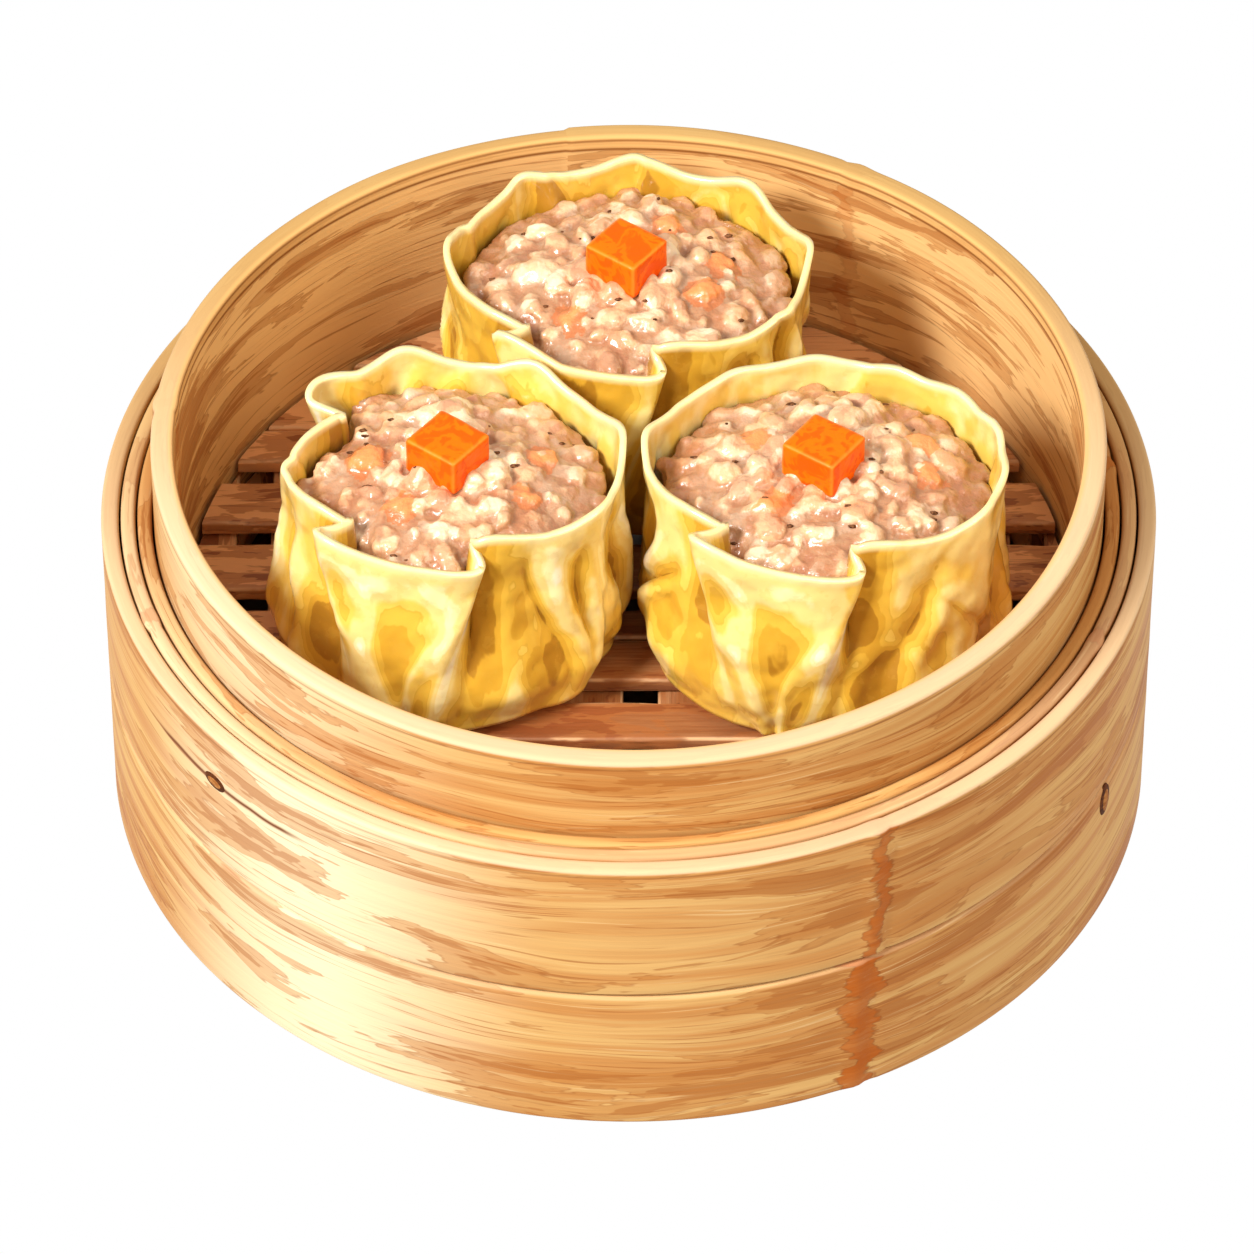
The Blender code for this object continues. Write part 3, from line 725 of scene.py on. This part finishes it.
# The filling. Minced pork and shrimp, worked until it sticks and heaped into the cup: lumps a few
# millimetres across, glazed with their own juice, over one solid mound. Orange-pink bits of shrimp show
# among them.
SWELL_ROUND_CARROT = 1.5 * MM   # the mince stands up where the carrot is pressed in
SWELL_REACH = 9.0               # millimetres
WALL_CLEARANCE = 0.55 * MM      # between the mince and the middle of the dough
LUMPS = (                       # gap between middles, least and greatest size in millimetres, and tries
    (3.7, 1.8, 2.7, 2500),
    (2.9, 0.9, 1.5, 3000),
)
STEEPEST = 0.35                 # no lump sits where the mound's normal has less rise than this
VOXEL = 0.34 * MM
SMOOTHINGS = 3
GRAINS = ((0.45, 0.50 * MM), (1.2, 0.22 * MM))      # the grain of the skin: scale, height
# Below this height over the mound a lump takes painted shade, darkest in the creases.
CROWN = 2.0 * MM                # how far over the mound a lump is at its palest
TINT_STEP = 0.61803             # from one lump's tint to the next, so that neighbours differ
SHRIMP = {                      # each piece of shrimp: right, back and size, in millimetres
    "left": ((-10.5, 2.5, 2.9), (-6.0, -7.0, 3.4), (10.5, -4.5, 3.3), (12.0, 3.0, 2.6)),
    "right": ((-8.5, 7.0, 3.1), (-6.5, -6.0, 3.2), (14.0, 0.5, 3.3), (13.0, 6.5, 2.7)),
    "rear": ((-7.5, -8.5, 3.2), (10.5, -3.0, 2.6), (13.0, 3.0, 2.9), (5.5, 10.5, 2.4)),
}


def mound_core(name):
    """The frame's own mound, with its doubled points joined, for the lumps to sit on."""
    core = bmesh.new()
    core.from_mesh(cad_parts["filling_" + name].data)
    bmesh.ops.remove_doubles(core, verts=core.verts, dist=0.01 * MM)
    return core


def scatter_lumps(dumpling, core):
    """Places on the mound's top, none too close to another, with a size and a kind for each."""
    chance = random.Random(dumpling["seed"] + 20)
    surface = BVHTree.FromBMesh(core)
    reach = dumpling["radius"]
    lumps = []
    for x, y, size in SHRIMP[dumpling["name"]]:
        lumps.append((Vector((dumpling["x"] + x * MM, dumpling["y"] + y * MM, 0)), size * MM, 1.0))
    for gap, least, greatest, tries in LUMPS:
        before = len(lumps)
        for _ in range(tries):
            away, turn = reach * math.sqrt(chance.random()), chance.uniform(0, math.tau)
            spot = Vector((dumpling["x"] + away * math.sin(turn),
                           dumpling["y"] - away * math.cos(turn) * RIM_DEPTH_RATIO, 0))
            # The small lumps may sit on the large ones, and keep clear only of each other.
            near = lumps[before:] if before > len(SHRIMP[dumpling["name"]]) else lumps
            if all((spot - other).xy.length > gap * MM for other, _, _ in near):
                size, kind = chance.uniform(least, greatest) * MM, chance.choice((0.0, 0.0, 0.3, 0.45))
                lumps.append((spot, size, kind))
    seated = []
    for spot, size, kind in lumps:
        hit = surface.ray_cast(spot + Vector((0, 0, 0.1)), Vector((0, 0, -1)))
        if hit[0] is None or hit[1].z < STEEPEST:
            continue
        centre = Vector((dumpling["x"], dumpling["y"], 0))
        hit[0].z += SWELL_ROUND_CARROT * hump((hit[0] - centre).xy.length / MM, SWELL_REACH)
        sink = chance.uniform(0.3, 0.8) if size > LUMPS[0][1] * MM else chance.uniform(0.1, 0.7)
        seated.append((hit[0] - hit[1] * size * sink, size, kind))
    return seated


def knead(dumpling, core, lumps):
    """Melt the lumps and the mound into one skin, then give it a fine grain."""
    chance = random.Random(dumpling["seed"] + 40)
    rough = bpy.data.meshes.new("rough")
    for spot, size, _ in lumps:
        lump = bmesh.new()
        bmesh.ops.create_icosphere(lump, subdivisions=2, radius=size)
        flattened = (chance.uniform(1.0, 1.6), chance.uniform(0.75, 1.05), 0.9)
        bmesh.ops.scale(lump, vec=flattened, verts=lump.verts)
        for least, greatest, axis in ((-0.5, 0.5, "Y"), (0, math.pi, "Z")):
            tumbled = Matrix.Rotation(chance.uniform(least, greatest), 3, axis)
            bmesh.ops.rotate(lump, matrix=tumbled, verts=lump.verts)
        bmesh.ops.translate(lump, vec=spot, verts=lump.verts)
        lump.to_mesh(rough)
        lump.free()
        core.from_mesh(rough)
    core.to_mesh(rough)
    core.free()
    holder = stand("rough", rough)
    remesh = holder.modifiers.new("melt", "REMESH")
    remesh.mode = "VOXEL"
    remesh.voxel_size = VOXEL
    seen = bpy.context.evaluated_depsgraph_get()
    melted = bpy.data.meshes.new_from_object(holder.evaluated_get(seen))
    bpy.data.objects.remove(holder)
    skin = bmesh.new()
    skin.from_mesh(melted)
    for _ in range(SMOOTHINGS):
        bmesh.ops.smooth_vert(skin, verts=skin.verts, factor=0.5, use_axis_x=True, use_axis_y=True,
                              use_axis_z=True)
    skin.normal_update()
    for point in skin.verts:
        spot = point.co / MM
        point.co += point.normal * sum(rise * noise.noise(spot * scale) for scale, rise in GRAINS)
    return skin


def press_in(dumpling, skin):
    """Push back whatever part of the filling would come through the wall of its wrapper."""
    for point in skin.verts:
        middle = Vector((dumpling["x"], dumpling["y"], point.co.z))
        outward = point.co - middle
        hit = dumpling["wall"].ray_cast(middle, outward.normalized())
        if hit[0] is not None and hit[3] - WALL_CLEARANCE < outward.length:
            point.co = middle + outward.normalized() * (hit[3] - WALL_CLEARANCE)


def tell_lumps(dumpling, skin, core_surface, lumps):
    """Mark each point of the skin with its lump's kind and tint, its height and how far out it is."""
    outward = skin.verts.layers.float.new("outward")
    kinds = skin.verts.layers.float.new("kind")
    heights = skin.verts.layers.float.new("height")
    tints = skin.verts.layers.float.new("tint")
    tree = KDTree(len(lumps))
    for number, (spot, _, _) in enumerate(lumps):
        tree.insert(spot, number)
    tree.balance()
    for point in skin.verts:
        best = min(tree.find_n(point.co, 4), key=lambda found: found[2] - lumps[found[1]][1])
        point[kinds] = lumps[best[1]][2]
        point[tints] = (best[1] * TINT_STEP) % 1.0
        nearest = core_surface.find_nearest(point.co)
        over = (point.co - nearest[0]).dot(nearest[1])
        point[heights] = min(max(over / CROWN, 0.0), 1.0)
        from_middle = point.co - Vector((dumpling["x"], dumpling["y"], 0))
        point[outward] = from_middle.xy.length / dumpling["radius"]


def cooked_mince():
    """Steamed mince: pinkish beige lumps with paler and darker patches, orange shrimp, and mauve-brown
    painted shade in the creases and towards the wrapper.
    """
    finish = Finish("cooked_mince", roughness=0.34, specular_ior_level=0.55, coat_weight=0.55,
                    coat_roughness=0.14, subsurface_weight=0.15, subsurface_radius=(1.0, 0.45, 0.3),
                    subsurface_scale=1.2 * MM)
    height, kind, tint = (finish.attribute(name) for name in ("height", "kind", "tint"))
    fine = finish.noise(finish.place, 0.75, 3.0, 0.6)
    fat = finish.noise(finish.place, 0.24, 3.0, 0.5, 0.5)
    finish.base(finish.step(tint, 0.2, 0.8), "D0A078", "E2BE96")
    finish.lay(finish.step(fat, 0.53, 0.58), "F1DCBC", 0.7)
    finish.lay(finish.step(fat, 0.45, 0.41), "B87E60", 0.55)
    finish.lay(finish.step(kind, 0.1, 0.5), "DFA472", 0.4)
    finish.lay(finish.step(kind, 0.7, 0.9), "EE8C4C", 0.9)
    # Painted shade in the creases between the lumps.
    shaded = finish.math("ADD", height, finish.times(fine, 0.35))
    finish.lay(finish.step(shaded, 0.25, 0.55, 1.0, 0.0), "935634", 0.65)
    # Painted shade towards the wrapper's wall.
    finish.lay(finish.step(finish.attribute("outward"), 0.64, 0.92), "9C6442", 0.65)
    finish.relief(finish.noise(finish.place, 1.6), 0.16 * MM)
    return finish.done()


mince = cooked_mince()
for dumpling in DUMPLINGS:
    core = mound_core(dumpling["name"])
    core_surface = BVHTree.FromBMesh(core)
    lumps = scatter_lumps(dumpling, core)
    skin = knead(dumpling, core, lumps)
    press_in(dumpling, skin)
    tell_lumps(dumpling, skin, core_surface, lumps)
    dumpling["mince"] = BVHTree.FromBMesh(skin)
    place(skin, "minced_filling_" + dumpling["name"], mince, ["filling_" + dumpling["name"]],
          sharp=None)

# The pepper. Coarsely ground black pepper, stirred into the mince, shows as dark flecks on its lumps.
# All the flecks are one piece.
FLECKS = 24                     # tries for each dumpling
FLECK_SIZES = (0.20 * MM, 0.42 * MM)
FLECK_REACH = 0.85              # how far out they lie, as a share of the dumpling's radius
FLECK_LOWEST = 0.75             # and how low, as a share of its height


def ground_pepper():
    chance = random.Random(12)
    flecks = bmesh.new()
    for dumpling in DUMPLINGS:
        for _ in range(FLECKS):
            away = dumpling["radius"] * FLECK_REACH * math.sqrt(chance.random())
            turn = chance.uniform(0, math.tau)
            above = Vector((dumpling["x"] + away * math.sin(turn),
                            dumpling["y"] - away * math.cos(turn), 0.1))
            size = chance.uniform(*FLECK_SIZES)
            hit = dumpling["mince"].ray_cast(above, Vector((0, 0, -1)))
            if hit[0] is None or hit[1].z < 0.2:
                continue
            if hit[0].z < DECK_HEIGHT + FLECK_LOWEST * DUMPLING_HEIGHT:
                continue
            fleck = bmesh.ops.create_icosphere(flecks, subdivisions=1, radius=size)["verts"]
            for point in fleck:
                point.co *= chance.uniform(0.75, 1.3)
            bmesh.ops.scale(flecks, vec=(chance.uniform(0.9, 2.0), 0.9, 0.5), verts=fleck)
            bmesh.ops.translate(flecks, vec=hit[0] + hit[1] * size * 0.1, verts=fleck)
    return flecks


def black_pepper():
    finish = Finish("black_pepper", roughness=0.85, specular_ior_level=0.1)
    grit = finish.noise(finish.place, 2.5)
    finish.base(finish.step(grit, 0.4, 0.6), "4A2C1A", "7A5034")
    return finish.done()


place(ground_pepper(), "ground_pepper", black_pepper(), [], sharp=None)

# The carrots. A cube of carrot, cut with a knife and pressed into the top of each mound before steaming,
# so that its edges are a little soft and its faces shine.
CARROT_SIZE = (8.2 * MM, 7.7 * MM, 5.5 * MM)
CARROT_TURNS = {"left": -38, "right": -36, "rear": -37}
CARROT_CUTS = 14
CARROT_EDGE = 0.45 * MM
CARROT_WANDER = 0.10 * MM       # how far the cut faces stray from flat


def carrot_cube(dumpling):
    low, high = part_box("carrot_" + dumpling["name"])
    block = bmesh.new()
    bmesh.ops.create_cube(block, size=1.0)
    bmesh.ops.subdivide_edges(block, edges=block.edges[:], cuts=CARROT_CUTS, use_grid_fill=True)
    bmesh.ops.scale(block, vec=CARROT_SIZE, verts=block.verts)
    # The rounded edges are marked for a painted highlight.
    carrot_edge_highlight = block.verts.layers.float.new("carrot_edge_highlight")
    half = Vector(CARROT_SIZE) / 2
    for point in block.verts:
        core = Vector([min(max(value, CARROT_EDGE - limit), limit - CARROT_EDGE)
                       for value, limit in zip(point.co, half)])
        outward = point.co - core
        point[carrot_edge_highlight] = 1.0 if outward.length > CARROT_EDGE * 1.02 else 0.0
        if outward.length > 0:
            point.co = core + outward.normalized() * CARROT_EDGE
        spot = point.co / MM + Vector((0, 0, dumpling["seed"] * 9.0))
        point.co += (point.co / MM).normalized() * CARROT_WANDER * noise.noise(spot * 0.3)
    turn = math.radians(CARROT_TURNS[dumpling["name"]])
    middle = (low + high) / 2
    for point in block.verts:
        x, y = point.co.x, point.co.y
        point.co = middle + Vector((x * math.cos(turn) - y * math.sin(turn),
                                    x * math.sin(turn) + y * math.cos(turn), point.co.z))
    bmesh.ops.recalc_face_normals(block, faces=block.faces)
    return block


def cooked_carrot():
    finish = Finish("cooked_carrot", roughness=0.4, specular_ior_level=0.1, coat_weight=0.05,
                    coat_roughness=0.12)
    clouds = finish.noise(finish.place, 0.35, 3.0, 0.5, 0.8)
    finish.base(finish.step(clouds, 0.42, 0.50), "EE5602", "F66A04")
    finish.lay(finish.step(clouds, 0.58, 0.62), "DC4602", 0.6)
    # Painted highlight along the rounded edges.
    finish.lay(finish.attribute("carrot_edge_highlight"), "FFA040", 0.4)
    finish.relief(finish.noise(finish.place, 1.2), 0.08 * MM)
    return finish.done()


carrot = cooked_carrot()
for dumpling in DUMPLINGS:
    place(carrot_cube(dumpling), "cut_carrot_" + dumpling["name"], carrot,
          ["carrot_" + dumpling["name"]], sharp=None)

# The studio. A pale floor, a warm white surround, two soft lamps, the stronger from the front left and
# the warmer from the front right, and a camera that looks down at the basket's front from about a metre.
AIM = Vector((0.0, 0.0, 28 * MM))
TILT = math.radians(43.16)
DISTANCE = 1.12
LENS = 239.4
SHIFT = (-0.0013, -0.0215)      # the basket stands a little off the middle of the view
GLOW_START, GLOW_FULL = 66.0, 70.0      # millimetres from the middle: beyond them the floor is pure white

camera_data = bpy.data.cameras.new("camera")
camera_data.lens = LENS
camera_data.sensor_width = 36
camera_data.shift_x, camera_data.shift_y = SHIFT
camera = stand("camera", camera_data)
camera.location = AIM + DISTANCE * Vector((0, -math.cos(TILT), math.sin(TILT)))
camera.rotation_euler = (math.pi / 2 - TILT, 0, 0)
bpy.context.scene.camera = camera

floor_data = bmesh.new()
bmesh.ops.create_grid(floor_data, x_segments=2, y_segments=2, size=4.0)
floor_mesh = bpy.data.meshes.new("floor")
floor_data.to_mesh(floor_mesh)
floor_data.free()
floor_finish = Finish("pale_floor", roughness=0.9, specular_ior_level=0.0, emission_color=(1.0,) * 4)
x, y, _ = floor_finish.split(floor_finish.place)
glow = floor_finish.step(floor_finish.from_axis(x, y), GLOW_START, GLOW_FULL)
floor_finish.base(glow, "B8B0A8", "000000")
floor_finish.feed("Emission Strength", glow)
floor_mesh.materials.append(floor_finish.done())
stand("floor", floor_mesh)


def lamp(name, spot, size, power, colour):
    """A square soft lamp that faces the middle of the basket."""
    data = bpy.data.lights.new(name, "AREA")
    data.size = size
    data.energy = power
    data.color = colour
    made = stand(name, data)
    made.location = spot
    made.rotation_euler = (AIM - Vector(spot)).to_track_quat("-Z", "Y").to_euler()


lamp("key", (-0.72, -0.60, 0.93), 0.35, 25.0, (1.0, 0.99, 0.97))
lamp("fill", (0.75, -0.70, 0.90), 0.8, 10.0, (1.0, 0.86, 0.70))
world = bpy.data.worlds.new("surround")
world.use_nodes = True
surround = world.node_tree.nodes["Background"].inputs
surround["Color"].default_value = (1.0, 0.94, 0.86, 1.0)
surround["Strength"].default_value = 0.52
bpy.context.scene.world = world
bpy.context.scene.view_settings.view_transform = "Standard"
